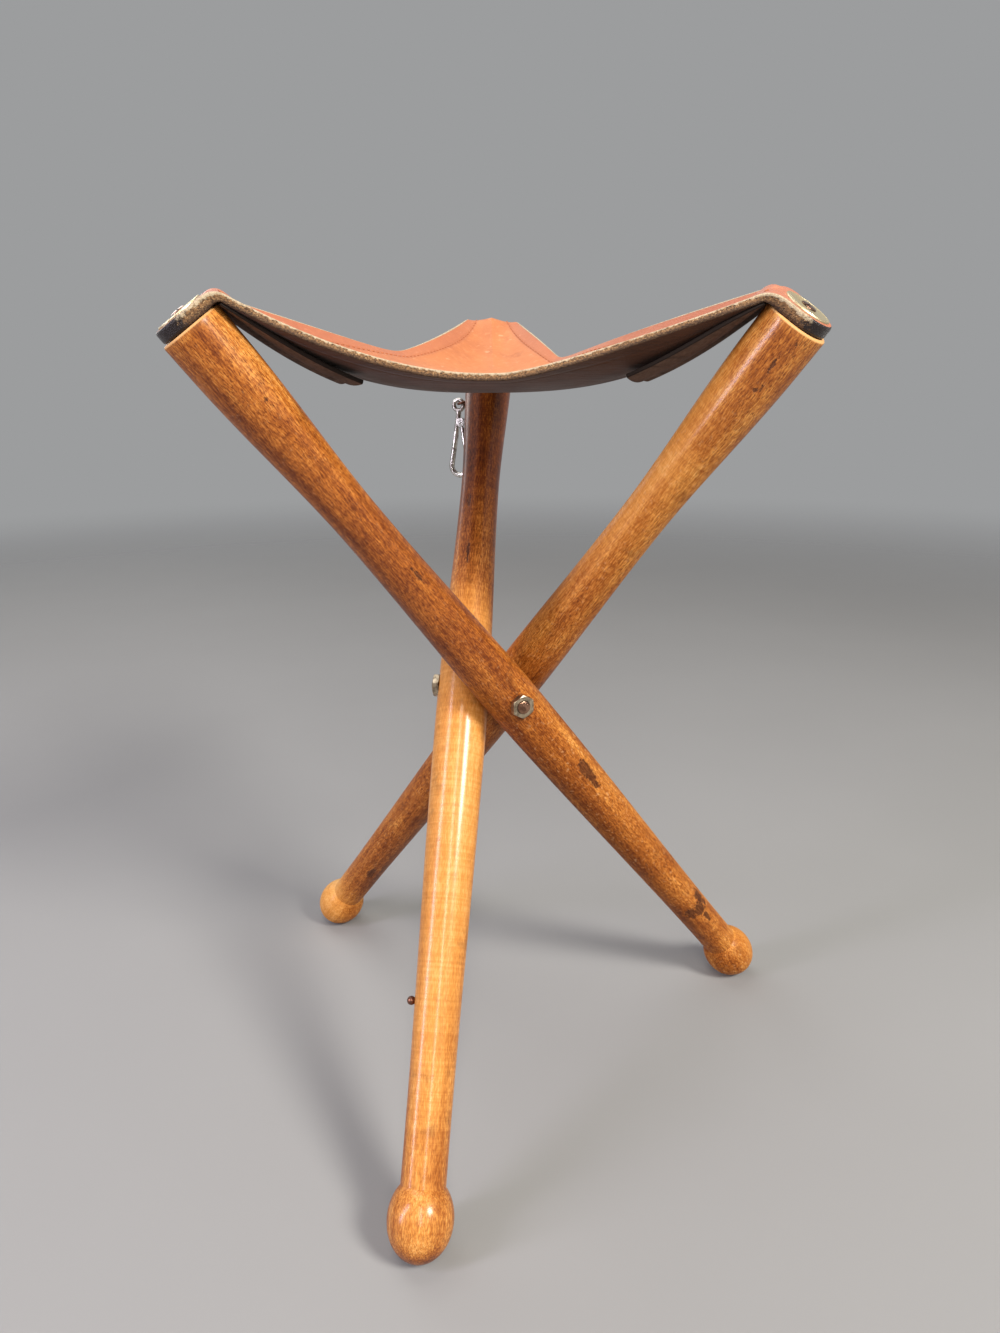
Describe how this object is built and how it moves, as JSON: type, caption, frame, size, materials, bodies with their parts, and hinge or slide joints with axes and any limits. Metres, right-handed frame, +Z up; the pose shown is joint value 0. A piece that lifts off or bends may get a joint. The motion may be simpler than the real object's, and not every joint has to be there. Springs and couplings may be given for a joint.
{
  "type": "folding tripod stool",
  "caption": "Folding tripod stool: turned wooden legs cross on a three-way bolt, a triangular leather seat is screwed onto their ends, and a snap hook for a strap hangs under it.",
  "frame": {"origin": "on the floor, under the middle of the three-way bolt", "axes": "+Z up; -Y towards the foot in front; the seat's corners point to -X (left), +X (right) and +Y (back)"},
  "size_m": [0.3578, 0.3814, 0.4844],
  "materials": {
    "stained_beech": "amber stained and waxed hardwood with dark flecks",
    "seat_leather": "worn tan saddle leather",
    "patch_leather": "grey-brown flesh side of a thin leather ply",
    "bolt_steel": "dull plated steel",
    "disc_brass": "pale worn brass",
    "hook_nickel": "polished nickel plate",
    "stud_iron": "dark browned iron"
  },
  "bodies": {
    "hub": {"three_way_bolt": "bolt_steel", "pivot_nut_left": "bolt_steel", "pivot_nut_right": "bolt_steel", "pivot_nut_back": "bolt_steel", "seat_panel": "seat_leather"},
    "leg_left": {"leg_left": "stained_beech", "corner_disc_left": "disc_brass", "corner_screw_left": "bolt_steel"},
    "leg_right": {"leg_right": "stained_beech", "corner_disc_right": "disc_brass", "corner_screw_right": "bolt_steel"},
    "leg_back": {"leg_back": "stained_beech", "corner_disc_back": "disc_brass", "corner_screw_back": "bolt_steel", "strap_screw_eye": "stud_iron", "strap_stud": "stud_iron"},
    "corner_left": {"corner_patch_left": "patch_leather"},
    "corner_right": {"corner_patch_right": "patch_leather"},
    "corner_back": {"corner_patch_back": "patch_leather"},
    "snap_hook": {"snap_hook": "hook_nickel", "gate_pin": "hook_nickel"},
    "hook_gate": {"hook_gate": "hook_nickel"}
  },
  "joints": [
    {"name": "fold_left", "type": "hinge", "parent": "hub", "child": "leg_left", "pos_m": [0.00822, -0.01967, 0.25362], "axis": [-0.3858, 0.9226, 0], "range_deg": [0, 35], "deforming": ["seat_panel"]},
    {"name": "fold_right", "type": "hinge", "parent": "hub", "child": "leg_right", "pos_m": [0.01292, 0.01696, 0.25362], "axis": [-0.6061, -0.7954, 0], "range_deg": [0, 35]},
    {"name": "fold_back", "type": "hinge", "parent": "hub", "child": "leg_back", "pos_m": [-0.02115, 0.00271, 0.25362], "axis": [0.9919, -0.1272, 0], "range_deg": [0, 35]},
    {"name": "corner_swing_left", "type": "hinge", "parent": "leg_left", "child": "corner_left", "pos_m": [-0.13371, -0.0772, 0.48416], "axis": [0.3858, -0.9226, 0], "range_deg": [0, 146], "deforming": ["corner_patch_left"]},
    {"name": "corner_swing_right", "type": "hinge", "parent": "leg_right", "child": "corner_right", "pos_m": [0.13371, -0.0772, 0.48416], "axis": [0.6061, 0.7954, 0], "range_deg": [0, 146], "deforming": ["corner_patch_right"]},
    {"name": "corner_swing_back", "type": "hinge", "parent": "leg_back", "child": "corner_back", "pos_m": [0, 0.15439, 0.48416], "axis": [-0.9919, 0.1272, 0], "range_deg": [0, 146], "deforming": ["corner_patch_back"]},
    {"name": "hook_swing", "type": "hinge", "parent": "leg_back", "child": "snap_hook", "pos_m": [-0.02502, 0.14883, 0.42377], "axis": [0.4067, 0.9135, 0], "range_deg": [-15, 50]},
    {"name": "gate_turn", "type": "hinge", "parent": "snap_hook", "child": "hook_gate", "pos_m": [-0.02319, 0.14801, 0.41077], "axis": [0.4067, 0.9135, 0], "range_deg": [0, 14], "stiffness_Nm_per_rad": 0.02, "springref_deg": -8.59}
  ],
  "couplings": [
    {"joint": "fold_right", "follows": "fold_left", "ratio": 1},
    {"joint": "fold_back", "follows": "fold_left", "ratio": 1},
    {"joint": "corner_swing_left", "follows": "fold_left", "ratio": 4.15},
    {"joint": "corner_swing_right", "follows": "fold_left", "ratio": 4.15},
    {"joint": "corner_swing_back", "follows": "fold_left", "ratio": 4.15}
  ]
}
